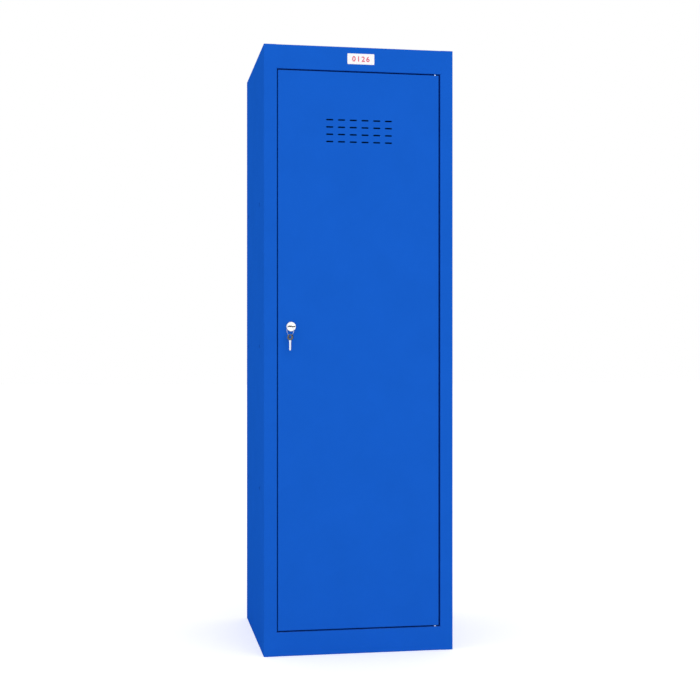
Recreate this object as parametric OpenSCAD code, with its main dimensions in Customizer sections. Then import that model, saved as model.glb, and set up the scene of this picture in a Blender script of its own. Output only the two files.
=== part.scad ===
// Tall single-door steel locker on a square base.
// The origin is the centre of the underside. +X is right, +Y is towards the back and +Z is up.
// The door is hinged on the right. Its lock, on the left, holds a key on a ring with a spare.

/* [Cabinet] */
// Width over the side panels
body_w = 386; // [330:1:460]
// Depth from the front of the door frame to the back
body_d = 386; // [330:1:460]
// Height from the floor to the top
body_h = 1220; // [1120:1:1400]
// Thickness of the cabinet's sheet steel
sheet_t = 0.9; // [0.7:0.1:1.2]
// Inside radius of the bends in the sheet
bend_r = 0.6; // [0.4:0.1:1]
// Width of each side panel's front edge, beside the door
stile_w = 26.2; // [22:0.1:32]
// Height of the rails above and below the door
rail_h = 48; // [40:1:70]
// Depth of the flange that turns back from each rail and holds a hinge pin
rail_return = 24; // [20:1:34]
// Height of the stiffening lip at the end of that flange
rail_lip = 10; // [6:1:18]
// Width of the side panels' flanges behind the back panel
rear_flange_w = 20; // [12:1:30]
// Height of the flanges on the back and sides of the top and bottom panels
deck_flange_h = 15; // [8:1:25]
// Gap between the back panel's edges and the sheets around it
back_clear = 1; // [1:0.1:3]

/* [Door frame] */
// Width of the lip that the lock side of the door closes on
stop_lip_w = 14; // [11:1:18]
// Depth of the frame beside the hinge side of the door
jamb_d = 24; // [23:1:34]
// Width of the flange at the back of that frame
jamb_return = 12; // [6:1:14]

/* [Door] */
// Thickness of the door's sheet steel
door_t = 1; // [0.8:0.1:1.2]
// Depth of the door over its folded edges
door_d = 18; // [16:0.5:20]
// Width of the lips folded in behind the door
door_lip = 14; // [8:1:16]
// Gap beside the door on the lock side
gap_lock = 1.7; // [1:0.1:3]
// Gap beside the door on the hinge side
gap_hinge = 3.1; // [2.6:0.1:4]
// Gap above the door
gap_top = 2.7; // [1.5:0.1:4]
// Gap below the door
gap_bottom = 2.7; // [2:0.1:4]

/* [Vents] */
// Number of vent slots across
vent_cols = 6; // [2:1:9]
// Number of rows of vent slots
vent_rows = 4; // [2:1:8]
// Length of a vent slot
vent_w = 14.5; // [8:0.5:20]
// Height of a vent slot
vent_h = 3; // [2:0.5:6]
// Distance between vent slots across
vent_pitch_x = 24; // [22:0.5:30]
// Distance between rows of vent slots
vent_pitch_z = 14.6; // [10:0.2:20]
// Distance from the door's top edge to the highest row
vent_drop = 96.6; // [40:0.2:160]

/* [Door stiffener] */
// Width of the stiffener over its flanges
stiff_w = 70; // [50:1:110]
// Width of each flange
stiff_flange = 12; // [8:1:18]
// Depth of the stiffener behind the door's face
stiff_d = 12; // [8:0.5:14]
// Distance from the door's bottom edge to the stiffener
stiff_rise = 60; // [30:1:120]
// Distance from the lowest vents to the stiffener
stiff_below_vents = 30; // [15:1:80]

/* [Hinge] */
// Distance from the door's hinge edge to the hinge axis
pivot_in = 6.6; // [6.4:0.1:7.6]
// Distance from the door's face to the hinge axis
pivot_back = 6.4; // [6.3:0.1:6.8]
// Diameter of the hinge pins
pin_d = 5; // [4:0.1:5.4]
// Diameter of the hinge pins' heads and of the collar under the door
pin_head_d = 7; // [6.5:0.5:9]
// Height of the hinge pins' heads
pin_head_t = 1.5; // [1:0.1:3]
// Length of the hinge pins past the hinge plates
pin_out = 3; // [2:0.5:10]
// Wall of the nylon hinge bushes
bush_wall = 1; // [0.8:0.1:1.2]
// Diameter of the bushes' heads
bush_head_d = 8.6; // [8.2:0.1:9.2]
// Height of the bushes' heads
bush_head_t = 0.8; // [0.6:0.1:1.2]
// Length of the plates that stiffen the door at the hinge
hinge_plate_w = 50; // [30:1:90]
// Depth of those plates
hinge_plate_d = 13; // [12:0.5:13.5]
// Thickness of those plates
hinge_plate_t = 2.5; // [1.5:0.1:4]

/* [Lock] */
// Distance from the door's lock edge to the lock axis
lock_in = 26.8; // [26:0.1:32]
// Height of the lock above the floor
lock_z = 657.5; // [500:0.5:800]
// Diameter of the lock's face
face_d = 19.4; // [18:0.1:24]
// Height of the lock's face in front of the door
face_t = 3; // [2:0.1:4]
// Bevel around the lock's face
face_edge = 0.8; // [0.3:0.1:1.2]
// Diameter of the lock's barrel
barrel_d = 16; // [15.5:0.1:18]
// Width of the barrel over its flats
barrel_flats = 14; // [13.5:0.1:15]
// Diameter of the turning plug
plug_d = 11; // [10.5:0.1:12]
// Diameter of the plug's head
plug_head_d = 13; // [12.5:0.1:14]
// Height of the plug's head
plug_head_t = 1.4; // [1:0.1:1.8]
// Side of the square tail that carries the cam
tail_w = 6; // [5:0.1:7]
// Diameter of the screw that holds the cam
screw_d = 4; // [3:0.1:4.4]
// Length of that screw inside the plug
screw_l = 4.2; // [3:0.1:4.6]
// Diameter of that screw's head
screw_head_d = 8; // [7.5:0.1:10]
// Height of that screw's head
screw_head_t = 2.4; // [2:0.1:4]
// Width of the nut over its flats
nut_af = 20; // [19:0.5:22]
// Thickness of the nut
nut_t = 4; // [3:0.5:6]
// Diameter of the washer
washer_d = 21; // [18:0.5:23]
// Thickness of the washer
washer_t = 1; // [0.6:0.1:1.5]
// Reach of the cam from the lock axis to its tip
cam_l = 25; // [20:0.5:27]
// Width of the cam
cam_w = 12; // [10:0.5:14]
// Thickness of the cam
cam_t = 2; // [1.5:0.1:3]
// Number of wafers in the plug
wafer_n = 5; // [3:1:5]
// Thickness of a wafer
wafer_t = 1; // [0.8:0.1:1.2]
// Distance between wafers
wafer_pitch = 2.8; // [2.4:0.1:3]
// Height of a wafer across the keyway
wafer_h = 5; // [4.6:0.1:5.6]

/* [Keys] */
// Width of a key's bow
bow_w = 14; // [13.6:0.1:14.4]
// Length of a key's bow
bow_l = 11.8; // [11.4:0.1:12.4]
// Radius of the bow's outer corners
bow_corner = 5; // [4:0.1:6]
// Diameter of the hole in the bow
bow_hole_d = 7; // [6.8:0.1:7.4]
// Metal between that hole and the bow's end
bow_bridge = 1.6; // [1.4:0.1:1.8]
// Thickness of the bow
bow_t = 2.4; // [2.2:0.1:2.6]
// Thickness of a key's blade
key_t = 1.8; // [1.6:0.1:2]
// Width of a key's blade
blade_w = 4.6; // [4.4:0.1:5.4]
// Length of a key's blade
blade_l = 20.2; // [19:0.1:22]
// Width of the groove along the blade
groove_w = 1.2; // [0.8:0.1:1.6]
// Depth of that groove
groove_d = 0.5; // [0.3:0.1:0.7]
// Depth of the cuts in the blade's edges
cut_d = 0.7; // [0.4:0.1:1]

/* [Key ring] */
// Radius of the ring to the centre of its wire
ring_r = 10.2; // [10:0.1:10.5]
// Diameter of the ring's wire
ring_wire_d = 1.2; // [1:0.1:1.4]
// Angle between the ring's plane and the door
ring_turn = 44; // [42:1:48]
// Distance of the ring's centre to the left of the lock axis
ring_left = 3.6; // [3.4:0.1:3.8]
// Distance of the ring's centre below the lock axis
ring_drop = 8; // [7.8:0.1:8.2]
// Distance of the ring's centre behind the end of the key's bow
ring_in = 1.2; // [1:0.1:1.4]

/* [Nest holes] */
// Diameter of the holes that bolt lockers side by side
nest_hole_d = 9; // [7:0.1:10]
// Number of rows of those holes
nest_rows = 3; // [2:1:4]
// Height of the lowest row
nest_first = 326; // [200:1:360]
// Distance between rows
nest_pitch = 292; // [200:1:300]
// Distance from the frame's front to the front column
nest_front = 94; // [60:1:120]
// Distance from the back to the rear column
nest_back = 42; // [36:1:80]

/* [Fixing holes] */
// Diameter of the holes in the top, bottom and back panels
fix_hole_d = 8.5; // [6:0.1:11]
// Distance between the columns of holes in the top and bottom panels
deck_hole_x = 280; // [200:1:300]
// Distance between the rows of holes in the top and bottom panels
deck_hole_y = 280; // [200:1:290]
// Distance between the columns of holes in the back panel
wall_hole_x = 240; // [160:1:280]
// Distance from the floor to the back panel's lower holes, and from the top to its upper ones
wall_hole_end = 110; // [70:1:180]

/* [Hat shelf] */
// Height of the shelf's top face above the floor
shelf_z = 935; // [850:1:1000]
// Distance from the frame's front to the shelf
shelf_setback = 31; // [30:1:60]
// Gap between the shelf and the panels around it
shelf_clear = 1; // [0.5:0.1:3]
// Height of the shelf's front edge
shelf_front_h = 20; // [14:1:40]
// Width of the hem folded under that edge
shelf_hem = 8; // [5:1:12]
// Height of the shelf's rear edge
shelf_rear_h = 12; // [8:1:25]
// Height of the shelf runners
runner_h = 20; // [12:1:40]
// Width of the runners under the shelf
runner_w = 16; // [14:1:25]
// Distance from the shelf's folded edges to the ends of the runners
runner_end = 12; // [10:1:40]
// Distance from the ends of the runners to the rivets
rivet_end = 25; // [15:1:60]

/* [Rivets] */
// Diameter of the rivets
rivet_d = 3.2; // [2.4:0.1:4.2]
// Diameter of the rivets' heads
rivet_head_d = 6.5; // [5.5:0.1:8]
// Height of the rivets' heads
rivet_head_h = 1.1; // [0.8:0.1:1.6]
// Length of the rivets' set ends
rivet_tail_l = 2; // [1.5:0.1:3]

/* [Coat hook] */
// Diameter of the hook's rod
rod_d = 6; // [5:0.1:8]
// Radius of each prong to the rod's centre
prong_r = 15; // [12:0.5:22]
// Height of each prong's upright end
prong_h = 10; // [6:0.5:20]
// Diameter of the balls on the prongs
prong_ball_d = 9; // [8.5:0.5:13]
// Length of the stem under the hook's plate
stem_l = 26; // [22:1:40]
// Length of the hook's plate
hook_plate_l = 56; // [46:1:80]
// Width of the hook's plate
hook_plate_w = 20; // [14:1:30]
// Thickness of the hook's plate
hook_plate_t = 2; // [1.5:0.1:4]
// Distance between the hook's rivets
hook_rivet_x = 40; // [30:1:46]
// Distance from the back of the frame to the hook
hook_from_back = 183; // [120:1:230]

/* [Door buffers] */
// Number of rubber buffers
buffer_n = 3; // [2:1:4]
// Distance from the door's ends to the outer buffers
buffer_end = 100; // [70:1:140]
// Diameter of a buffer's head
buffer_d = 8; // [6:0.5:9]
// Height of a buffer's head
buffer_h = 2.3; // [1.8:0.1:4]
// Diameter of a buffer's neck in the lip
buffer_neck_d = 4; // [3:0.5:5]
// Height of the bulb that holds a buffer behind the lip
buffer_bulb_h = 2; // [1.5:0.1:3]

/* [Number plate] */
// Width of the plate
plate_w = 55; // [40:1:90]
// Height of the plate
plate_h = 21.5; // [14:0.5:32]
// Thickness of the plate
plate_t = 0.8; // [0.5:0.1:2]
// Radius of the plate's corners
plate_corner = 1.5; // [0.5:0.1:4]
// Distance from the cabinet's top to the middle of the plate
plate_drop = 23.6; // [18:0.2:26]
// Distance of the plate to the right of the cabinet's middle
plate_shift = 2.7; // [-60:0.1:60]

/* [Clearances] */
// Radial clearance of the hinge pins and of the lock's plug
run_fit = 0.06; // [0.03:0.01:0.1]
// Clearance around pieces that are riveted, pressed or screwed in
fixed_fit = 0.05; // [0.02:0.01:0.1]
// Clearance around the lock's barrel in the door
barrel_fit = 0.15; // [0.1:0.05:0.4]
// Clearance around a key's blade
key_fit = 0.2; // [0.1:0.05:0.3]
// Gap between flat faces that turn or close on each other
face_gap = 0.2; // [0.1:0.05:0.3]
// Gap between a key's bow and the plug
bow_gap = 1; // [0.5:0.1:1.4]
// Gap between the locked cam and the lip in front of it
cam_gap = 1; // [0.6:0.1:2]
// Gap between the spare key and the ring that it hangs on
hang_gap = 0.15; // [0.1:0.05:0.3]

/* [Hidden] */
$fn = 48;

// Colours
paint = [0.086, 0.365, 0.788];
steel = [0.75, 0.76, 0.78];
nickel = [0.62, 0.62, 0.6];
brass = [0.78, 0.64, 0.32];
nylon = [0.08, 0.08, 0.08];
rubber = [0.12, 0.12, 0.13];
white = [0.95, 0.94, 0.93];

// Cabinet
half_w = body_w / 2;
half_d = body_d / 2;
front_y = -half_d;
bend_out = bend_r + sheet_t;
inner_x = half_w - sheet_t;
back_panel_y = half_d - 2 * sheet_t;
opening_x = half_w - stile_w;
seam_x = opening_x + bend_out;
opening_z0 = rail_h;
opening_z1 = body_h - rail_h;
corner_relief = rail_return + sheet_t;
overlap = 1;
through = 4;

// Door
door_x0 = -opening_x + gap_lock;
door_x1 = opening_x - gap_hinge;
door_z0 = opening_z0 + gap_bottom;
door_z1 = opening_z1 - gap_top;
door_w = door_x1 - door_x0;
door_h = door_z1 - door_z0;
door_mid_x = (door_x0 + door_x1) / 2;
door_back_y = front_y + door_d;
door_bend_out = bend_r + door_t;
inside_y = front_y + door_t;
pivot_x = door_x1 - pivot_in;
pivot_y = front_y + pivot_back;
bush_d = pin_d + 2 * run_fit + 2 * bush_wall;
collar_t = gap_bottom - bush_head_t - face_gap;
vent_z1 = door_z1 - vent_drop;
vent_z0 = vent_z1 - (vent_rows - 1) * vent_pitch_z;

// Lip that the door closes on, and the buffers on it
stop_y = door_back_y + face_gap + buffer_h;
stop_x = -opening_x + stop_lip_w / 2;

// Lock, as distances along Y
lock_x = door_x0 + lock_in;
face_y = front_y - face_t;
cam_y = stop_y + sheet_t + cam_gap;
shoulder_y = face_y - bow_gap;
blade_tip_y = shoulder_y + blade_l;
keyway_end_y = blade_tip_y + key_fit;
barrel_end_y = cam_y - face_gap;
nut_sides = 6;

// Keys and ring
bow_end_y = shoulder_y - bow_l;
bow_hole_v = bow_l - bow_bridge - bow_hole_d / 2;
ring_x = lock_x - ring_left;
ring_y = bow_end_y + ring_in;
ring_z = lock_z - ring_drop;
ring_low_z = ring_z - ring_r;
spare_hole_z = ring_low_z + ring_wire_d / 2 + hang_gap - bow_hole_d / 2;

// Shelf
shelf_y0 = front_y + shelf_setback;
shelf_y1 = back_panel_y - shelf_clear;
shelf_under_z = shelf_z - sheet_t;
hook_y = half_d - hook_from_back;

// A strip of sheet seen from its edge. Each step is a length and the turn after it.
// Lengths follow the strip's right-hand face, from one sharp corner to the next.
module fold(steps, t = sheet_t, i = 0, before = 0) {
    turn = steps[i][1];
    run = steps[i][0] - before - corner_allowance(turn, t);
    square([run, t]);
    if (turn > 0) {
        translate([run, bend_r + t]) {
            bend(t);
            translate([bend_r + t, 0]) rotate(90) fold(steps, t, i + 1, corner_allowance(turn, t));
        }
    }
    if (turn < 0) {
        translate([run, -bend_r]) {
            mirror([0, 1]) bend(t);
            translate([bend_r, 0]) rotate(-90) fold(steps, t, i + 1, corner_allowance(turn, t));
        }
    }
}

function corner_allowance(turn, t) = turn > 0 ? bend_r + t : turn < 0 ? bend_r : 0;

// Quarter of a ring, in the corner where x is positive and y negative
module bend(t) {
    difference() {
        intersection() {
            circle(bend_r + t);
            translate([0, -bend_r - t]) square(bend_r + t);
        }
        circle(bend_r);
    }
}

// Moves a drawing of the side view, y across and z up, to run along X
module along_x(x0, x1) {
    translate([x0, 0, 0]) rotate([90, 0, 90]) linear_extrude(x1 - x0) children();
}

// Moves a drawing of the front view, x across and z up, to run along Y
module along_y(y0, y1) {
    translate([0, y1, 0]) rotate([90, 0, 0]) linear_extrude(y1 - y0) children();
}

module rounded_box(x0, y0, x1, y1, r) {
    translate([x0 + r, y0]) square([x1 - x0 - 2 * r, y1 - y0]);
    translate([x0, y0 + r]) square([x1 - x0, y1 - y0 - 2 * r]);
    for (x = [x0 + r, x1 - r], y = [y0 + r, y1 - r])
        translate([x, y]) circle(r);
}

// Slice of a ball, with a flat base of diameter d and height h
module dome(d, h) {
    ball_r = (d * d / 4 + h * h) / (2 * h);
    intersection() {
        translate([0, 0, h - ball_r]) sphere(ball_r);
        cylinder(h = h, d = d + h);
    }
}

module rounded_block(size_x, size_y, h, r) {
    linear_extrude(h) rounded_box(-size_x / 2, -size_y / 2, size_x / 2, size_y / 2, r);
}

// Holes through a side panel, for bolts to the next locker
module nest_holes() {
    for (y = [front_y + nest_front, half_d - nest_back], i = [0:nest_rows - 1])
        translate([-half_w - through / 2, y, nest_first + i * nest_pitch])
            rotate([0, 90, 0]) cylinder(h = through + sheet_t, d = nest_hole_d);
}

// Side panel folded from the flange at the back to the last step given
module side_sheet(last_steps) {
    first_steps = [[rear_flange_w, 90], [body_d, 90], [stile_w, 90]];
    difference() {
        linear_extrude(body_h)
            translate([-half_w + rear_flange_w, half_d]) rotate(180) fold(concat(first_steps, last_steps));
        nest_holes();
        for (side = [0, 1])
            translate([0, 0, side * body_h]) mirror([0, 0, side]) door_frame_notch();
    }
}

// Room at the foot of a door frame's folds for a rail, which meets the flat front edge to edge
module door_frame_notch() {
    notch_d = jamb_d + through;
    notch_h = rail_h + through;
    translate([-half_w + bend_out, front_y + bend_out, -through])
        cube([stile_w + stop_lip_w, notch_d, notch_h]);
    translate([-seam_x, front_y - overlap, -through])
        cube([seam_x - opening_x + overlap, notch_d, notch_h]);
}

module left_side_panel() {
    color(paint) difference() {
        side_sheet([[stop_y - front_y, -90], [stop_lip_w, 0]]);
        buffer_places() cylinder(h = 2 * through, d = buffer_neck_d + 2 * fixed_fit, center = true);
    }
}

module right_side_panel() {
    color(paint) mirror([1, 0, 0]) side_sheet([[jamb_d, 90], [jamb_return, 0]]);
}

// Top or bottom panel lying with its outer face on the plane z = 0 and its flanges below.
// The front flange is the rail above or below the door.
module deck_pan() {
    rail = [[bend_out + overlap, 90], [rail_h, 90], [rail_return, 90], [rail_lip, 0]];
    flange = [[deck_flange_h, 90], [bend_out + overlap, 0]];
    difference() {
        union() {
            translate([-inner_x + bend_out, front_y + bend_out, -sheet_t])
                cube([2 * (inner_x - bend_out), body_d - 2 * bend_out, sheet_t]);
            along_x(-seam_x, seam_x)
                translate([front_y + bend_out + overlap, 0]) rotate(180) fold(rail);
            along_x(-half_w + rear_flange_w, half_w - rear_flange_w)
                translate([half_d, -deck_flange_h]) rotate(90) fold(flange);
            for (side = [0, 1])
                mirror([side, 0, 0]) along_y(-half_d + corner_relief, half_d - corner_relief)
                    translate([inner_x, -deck_flange_h]) rotate(90) fold(flange);
        }
        for (x = [-deck_hole_x / 2, deck_hole_x / 2], y = [-deck_hole_y / 2, deck_hole_y / 2])
            translate([x, y, -through / 2]) cylinder(h = through, d = fix_hole_d);
        translate([pivot_x, pivot_y, -rail_h - through / 2])
            cylinder(h = through, d = pin_d + 2 * fixed_fit);
    }
}

module top_panel() {
    color(paint) translate([0, 0, body_h]) deck_pan();
}

module bottom_panel() {
    color(paint) mirror([0, 0, 1]) deck_pan();
}

module back_panel() {
    edge_x = inner_x - back_clear;
    edge_z = sheet_t + back_clear;
    color(paint) difference() {
        translate([-edge_x, back_panel_y, edge_z]) cube([2 * edge_x, sheet_t, body_h - 2 * edge_z]);
        for (x = [-wall_hole_x / 2, wall_hole_x / 2], z = [wall_hole_end, body_h - wall_hole_end])
            translate([x, back_panel_y - through / 2, z])
                rotate([-90, 0, 0]) cylinder(h = through + sheet_t, d = fix_hole_d);
    }
}

// Rivet set downwards through two sheets, with its head on the plane z = 0
module rivet(grip) {
    dome(rivet_head_d, rivet_head_h);
    translate([0, 0, -grip]) cylinder(h = grip, d = rivet_d);
    translate([0, 0, -grip]) mirror([0, 0, 1]) dome(rivet_d + rivet_tail_l, rivet_tail_l);
}

module shelf_rivet_places() {
    y0 = shelf_y0 + runner_end + rivet_end;
    y1 = shelf_y1 - runner_end - rivet_end;
    for (x = [-1, 1], y = [y0, y1])
        translate([x * (inner_x - runner_w / 2), y, shelf_z]) children();
}

module hook_rivet_places() {
    for (x = [-hook_rivet_x / 2, hook_rivet_x / 2])
        translate([x, hook_y, shelf_z]) children();
}

module rivet_hole() {
    cylinder(h = 4 * through, d = rivet_d + 2 * fixed_fit, center = true);
}

module shelf_runners() {
    color(paint) difference() {
        for (side = [0, 1])
            mirror([side, 0, 0]) along_y(shelf_y0 + runner_end, shelf_y1 - runner_end)
                translate([inner_x, shelf_under_z - runner_h])
                    rotate(90) fold([[runner_h, 90], [runner_w, 0]]);
        shelf_rivet_places() rivet_hole();
    }
}

module hat_shelf() {
    edge_x = inner_x - shelf_clear;
    depth = shelf_y1 - shelf_y0;
    color(paint) difference() {
        along_x(-edge_x, edge_x) translate([shelf_y1, shelf_z - shelf_rear_h])
            rotate(90) fold([[shelf_rear_h, 90], [depth, 90], [shelf_front_h, 90], [shelf_hem, 0]]);
        shelf_rivet_places() rivet_hole();
        hook_rivet_places() rivet_hole();
    }
}

module shelf_rivets() {
    color(steel) shelf_rivet_places() rivet(2 * sheet_t);
}

// Half ring of rod under the stem, with an upright end and a ball
module prong() {
    translate([prong_r, 0, 0]) rotate([-90, 0, 0])
        rotate_extrude(angle = 180) translate([prong_r, 0]) circle(d = rod_d);
    translate([2 * prong_r, 0, 0]) cylinder(h = prong_h, d = rod_d);
    translate([2 * prong_r, 0, prong_h]) sphere(d = prong_ball_d);
}

module coat_hook() {
    plate_z = shelf_under_z - hook_plate_t;
    color(steel) difference() {
        union() {
            translate([0, hook_y, plate_z])
                rounded_block(hook_plate_l, hook_plate_w, hook_plate_t, plate_corner);
            translate([0, hook_y, plate_z - stem_l]) {
                cylinder(h = stem_l + hook_plate_t / 2, d = rod_d);
                for (side = [0, 1])
                    mirror([side, 0, 0]) prong();
            }
        }
        hook_rivet_places() rivet_hole();
    }
}

module hook_rivets() {
    color(steel) hook_rivet_places() rivet(sheet_t + hook_plate_t);
}

// Buffers stand on the lip with their heads towards the door
module buffer_places() {
    step = (door_h - 2 * buffer_end) / (buffer_n - 1);
    for (i = [0:buffer_n - 1])
        translate([stop_x, stop_y, door_z0 + buffer_end + i * step]) rotate([90, 0, 0]) children();
}

module door_buffers() {
    color(rubber) buffer_places() {
        dome(buffer_d, buffer_h);
        translate([0, 0, -sheet_t]) cylinder(h = sheet_t, d = buffer_neck_d);
        translate([0, 0, -sheet_t - buffer_bulb_h])
            cylinder(h = buffer_bulb_h, d1 = buffer_neck_d, d2 = (buffer_d + buffer_neck_d) / 2);
    }
}

module number_plate() {
    color(white) translate([plate_shift, front_y, body_h - plate_drop]) rotate([90, 0, 0])
        rounded_block(plate_w, plate_h, plate_t, plate_corner);
}

// Hinge pin standing on the plane z = 0, with its head behind the rail's flange
module hinge_pin(length) {
    translate([0, 0, -sheet_t - pin_head_t]) cylinder(h = pin_head_t, d = pin_head_d);
    translate([0, 0, -sheet_t]) cylinder(h = sheet_t + length, d = pin_d);
}

module upper_hinge_pin() {
    length = gap_top + door_t + hinge_plate_t + pin_out;
    color(steel) translate([pivot_x, pivot_y, opening_z1]) mirror([0, 0, 1]) hinge_pin(length);
}

// The collar on this pin carries the door
module lower_hinge_pin() {
    length = gap_bottom + door_t + hinge_plate_t + pin_out;
    color(steel) translate([pivot_x, pivot_y, opening_z0]) {
        hinge_pin(length);
        cylinder(h = collar_t, d = pin_head_d);
    }
}

// Solid with the door's outline, inset by one thickness, and rounded front and back edges
module door_solid(inset, r) {
    x0 = door_x0 + inset;
    x1 = door_x1 - inset;
    z0 = door_z0 + inset;
    z1 = door_z1 - inset;
    y0 = front_y + inset;
    y1 = door_back_y - inset;
    intersection() {
        translate([0, 0, z0]) linear_extrude(z1 - z0) rounded_box(x0, y0, x1, y1, r);
        along_x(x0, x1) rounded_box(y0, z0, y1, z1, r);
    }
}

module vent_slot() {
    end_x = (vent_w - vent_h) / 2;
    square([2 * end_x, vent_h], center = true);
    for (x = [-end_x, end_x])
        translate([x, 0]) circle(d = vent_h);
}

module vents() {
    x0 = door_mid_x - (vent_cols - 1) * vent_pitch_x / 2;
    for (i = [0:vent_cols - 1], j = [0:vent_rows - 1])
        translate([x0 + i * vent_pitch_x, vent_z0 + j * vent_pitch_z]) vent_slot();
}

// Round with two flats, as the barrel is seen from its end
module barrel_outline(fit) {
    intersection() {
        circle(d = barrel_d + 2 * fit);
        square([barrel_d + 4 * fit, barrel_flats + 2 * fit], center = true);
    }
}

// Puts children on the lock's axis at depth y, with their z running towards the back
module at_lock(y) {
    translate([lock_x, y, lock_z]) rotate([-90, 0, 0]) children();
}

module door_panel() {
    inner_depth = door_d - 2 * door_t;
    color(paint) difference() {
        door_solid(0, door_bend_out);
        door_solid(door_t, bend_r);
        translate([door_x0 + door_lip, door_back_y - 2 * door_t, door_z0 + door_lip])
            cube([door_w - 2 * door_lip, 4 * door_t, door_h - 2 * door_lip]);
        along_y(front_y - door_t, front_y + 2 * door_t) vents();
        at_lock(front_y - door_t) linear_extrude(3 * door_t) barrel_outline(barrel_fit);
        for (z = [door_z0, door_z1])
            translate([pivot_x, pivot_y, z])
                cylinder(h = inner_depth / 2, d = bush_d + 2 * fixed_fit, center = true);
    }
}

// Channel spot-welded behind the door's face
module door_stiffener() {
    z0 = door_z0 + stiff_rise;
    z1 = vent_z0 - stiff_below_vents;
    web = stiff_w - 2 * stiff_flange;
    wall = stiff_d - door_t;
    color(paint) translate([0, 0, z0]) linear_extrude(z1 - z0)
        translate([door_mid_x - stiff_w / 2, inside_y])
            fold([[stiff_flange, 90], [wall, -90], [web, -90], [wall, 90], [stiff_flange, 0]], door_t);
}

// Plate lying on the plane z = 0 around the hinge axis, flush with the hinge side's inner face
module hinge_plate() {
    x1 = pivot_in - door_t - face_gap;
    y0 = door_t + bend_r - pivot_back;
    color(steel) difference() {
        translate([x1 - hinge_plate_w, y0, 0]) cube([hinge_plate_w, hinge_plate_d, hinge_plate_t]);
        translate([0, 0, -through / 2])
            cylinder(h = hinge_plate_t + through, d = bush_d + 2 * fixed_fit);
    }
}

module upper_hinge_plate() {
    translate([pivot_x, pivot_y, door_z1 - door_t - hinge_plate_t]) hinge_plate();
}

module lower_hinge_plate() {
    translate([pivot_x, pivot_y, door_z0 + door_t]) hinge_plate();
}

// Nylon bush with its head below the plane z = 0
module hinge_bush() {
    color(nylon) difference() {
        union() {
            cylinder(h = door_t + hinge_plate_t, d = bush_d);
            translate([0, 0, -bush_head_t]) cylinder(h = bush_head_t, d = bush_head_d);
        }
        translate([0, 0, -bush_head_t - through / 2])
            cylinder(h = door_t + hinge_plate_t + bush_head_t + through, d = pin_d + 2 * run_fit);
    }
}

module upper_hinge_bush() {
    translate([pivot_x, pivot_y, door_z1 - door_t - hinge_plate_t]) hinge_bush();
}

module lower_hinge_bush() {
    translate([pivot_x, pivot_y, door_z0]) hinge_bush();
}

module lock_body() {
    color(steel) difference() {
        union() {
            at_lock(face_y) cylinder(h = face_edge, d1 = face_d - 2 * face_edge, d2 = face_d);
            at_lock(face_y + face_edge) cylinder(h = face_t - face_edge, d = face_d);
            at_lock(front_y) linear_extrude(barrel_end_y - front_y) barrel_outline(0);
        }
        at_lock(face_y - through) cylinder(h = body_d, d = plug_d + 2 * run_fit);
        at_lock(face_y - through)
            cylinder(h = through + plug_head_t + face_gap, d = plug_head_d + 2 * run_fit);
    }
}

module lock_washer() {
    color(steel) at_lock(inside_y) difference() {
        cylinder(h = washer_t, d = washer_d);
        translate([0, 0, -through / 2]) linear_extrude(washer_t + through) barrel_outline(barrel_fit);
    }
}

module lock_nut() {
    color(steel) at_lock(inside_y + washer_t) difference() {
        cylinder(h = nut_t, d = nut_af / cos(180 / nut_sides), $fn = nut_sides);
        translate([0, 0, -through / 2]) cylinder(h = nut_t + through, d = barrel_d + 2 * fixed_fit);
    }
}

// Places of the wafers, from the front of the barrel backwards
module wafer_places() {
    for (i = [0:wafer_n - 1])
        translate([lock_x, front_y + wafer_pitch / 2 + i * wafer_pitch, lock_z]) children();
}

// Block around the lock's axis, centred, with its thickness along Y
module wafer_block(grow) {
    cube([2 * plug_d, wafer_t + 2 * grow, wafer_h + 2 * grow], center = true);
}

module keyway(y0, y1) {
    slot_w = blade_w + 2 * key_fit;
    slot_h = key_t + 2 * key_fit;
    translate([lock_x - slot_w / 2, y0, lock_z - slot_h / 2]) cube([slot_w, y1 - y0, slot_h]);
}

module lock_plug() {
    color(nickel) difference() {
        union() {
            at_lock(face_y) cylinder(h = plug_head_t, d = plug_head_d);
            at_lock(face_y + plug_head_t / 2) cylinder(h = cam_y - face_y - plug_head_t / 2, d = plug_d);
            at_lock(cam_y - overlap) translate([-tail_w / 2, -tail_w / 2, 0])
                cube([tail_w, tail_w, overlap + cam_t - face_gap]);
        }
        keyway(face_y - through, keyway_end_y);
        wafer_places() wafer_block(fixed_fit);
        at_lock(cam_y - screw_l) cylinder(h = body_d, d = screw_d + 2 * fixed_fit);
    }
}

module lock_wafers() {
    color(brass) difference() {
        intersection() {
            wafer_places() wafer_block(0);
            at_lock(face_y) cylinder(h = cam_y - face_y, d = plug_d);
        }
        keyway(face_y, cam_y);
    }
}

// The cam points up when the lock is open
module lock_cam() {
    color(steel) at_lock(cam_y) difference() {
        union() {
            cylinder(h = cam_t, d = cam_w);
            translate([-cam_w / 2, -cam_l + cam_w / 2, 0]) cube([cam_w, cam_l - cam_w / 2, cam_t]);
            translate([0, -cam_l + cam_w / 2, 0]) cylinder(h = cam_t, d = cam_w);
        }
        cube([tail_w + 2 * fixed_fit, tail_w + 2 * fixed_fit, 4 * cam_t], center = true);
    }
}

module cam_screw() {
    slot_w = screw_head_t / 2;
    color(steel) difference() {
        union() {
            at_lock(cam_y + cam_t) cylinder(h = screw_head_t, d = screw_head_d);
            at_lock(cam_y - screw_l + face_gap)
                cylinder(h = screw_l + cam_t, d = screw_d);
        }
        at_lock(cam_y + cam_t + screw_head_t)
            cube([screw_head_d + slot_w, slot_w, screw_head_t], center = true);
    }
}

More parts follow.
